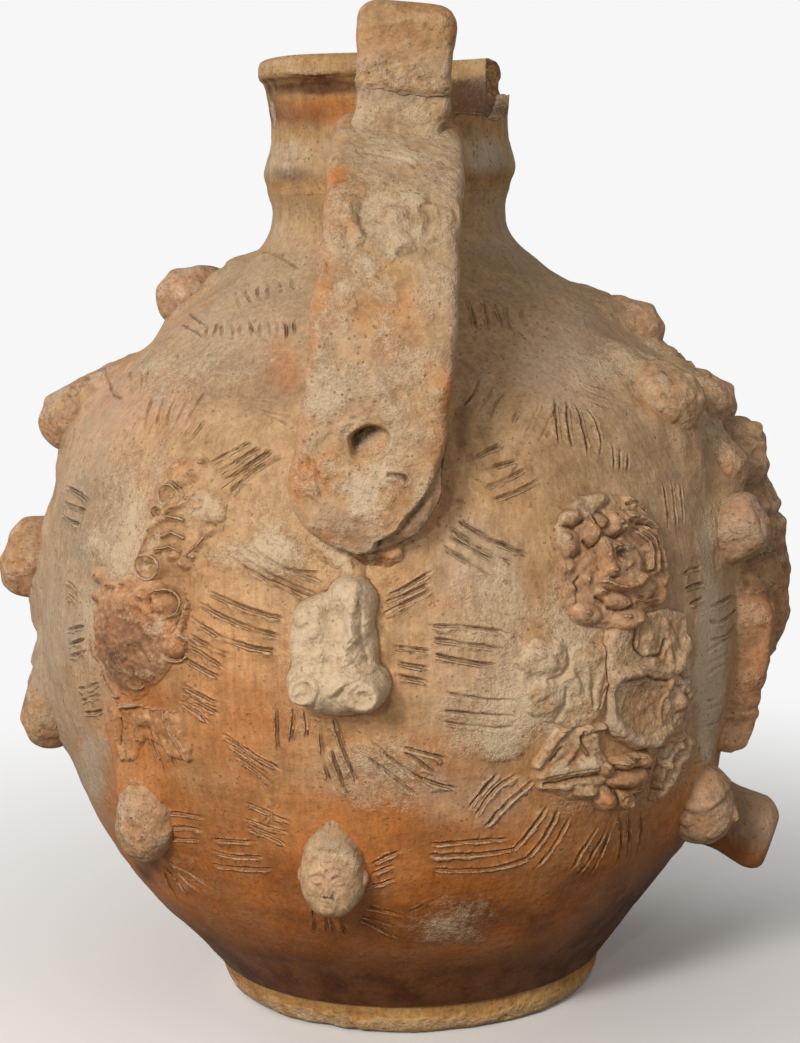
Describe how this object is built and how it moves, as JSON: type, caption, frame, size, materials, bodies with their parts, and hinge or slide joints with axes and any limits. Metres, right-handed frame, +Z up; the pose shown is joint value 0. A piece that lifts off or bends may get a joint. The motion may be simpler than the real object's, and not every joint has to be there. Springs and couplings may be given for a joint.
{
  "type": "terracotta vase",
  "caption": "Globular terracotta jug with a short collared neck, a flat strap handle with a thumb knob, a stub spout, comb marks and luted reliefs.",
  "frame": {"origin": "centre of the foot's flat underside", "axes": "+Z up along the vessel's turning axis; the strap handle faces -Y and the stub spout points towards +X"},
  "size_m": [0.2865, 0.2856, 0.3555],
  "materials": {
    "body_clay": "smoothed reddish-tan terracotta, wheel and comb marks",
    "neck_clay": "olive-tan terracotta with upright burnish marks",
    "foot_clay": "worn pale foot edge under a darker band",
    "handle_clay": "pitted terracotta with pale lime deposits",
    "spout_clay": "smooth terracotta, orange below",
    "head_clay": "moulded terracotta, rubbed on its high spots",
    "relief_clay": "modelled terracotta with dust in its hollows"
  },
  "bodies": {
    "root": {"back_low_left_head": "head_clay", "back_low_right_head": "head_clay", "back_medallion_mane": "relief_clay", "back_medallion_mask": "head_clay", "back_middle_left_head": "head_clay", "back_middle_right_head": "head_clay", "back_shoulder_head": "head_clay", "foliage_crescent": "relief_clay", "foliage_leaves": "relief_clay", "foliage_rosette": "relief_clay", "foliage_sprig": "relief_clay", "foliage_strands": "relief_clay", "foot_disc": "foot_clay", "front_low_head": "head_clay", "handle_knob": "handle_clay", "handle_root_luting": "handle_clay", "handle_stem": "handle_clay", "handle_strap": "handle_clay", "left_edge_high_head": "head_clay", "left_edge_low_head": "head_clay", "left_edge_middle_head": "head_clay", "left_low_head": "head_clay", "left_shoulder_head": "head_clay", "lower_bowl": "body_clay", "medallion_mane": "relief_clay", "medallion_mask": "head_clay", "mouth_collar": "neck_clay", "neck_tube": "neck_clay", "ox_head": "head_clay", "right_edge_shoulder_head": "head_clay", "right_shoulder_head": "head_clay", "right_twin_far_head": "head_clay", "right_twin_near_head": "head_clay", "shoulder_shell": "body_clay", "side_figure_head": "head_clay", "side_figure_tunic": "relief_clay", "side_figure_wing": "relief_clay", "spout": "spout_clay", "spout_head": "head_clay", "vine_grape_bunch": "relief_clay", "vine_knot": "relief_clay", "vine_scrolls": "relief_clay", "worn_head": "head_clay"}
  },
  "joints": []
}
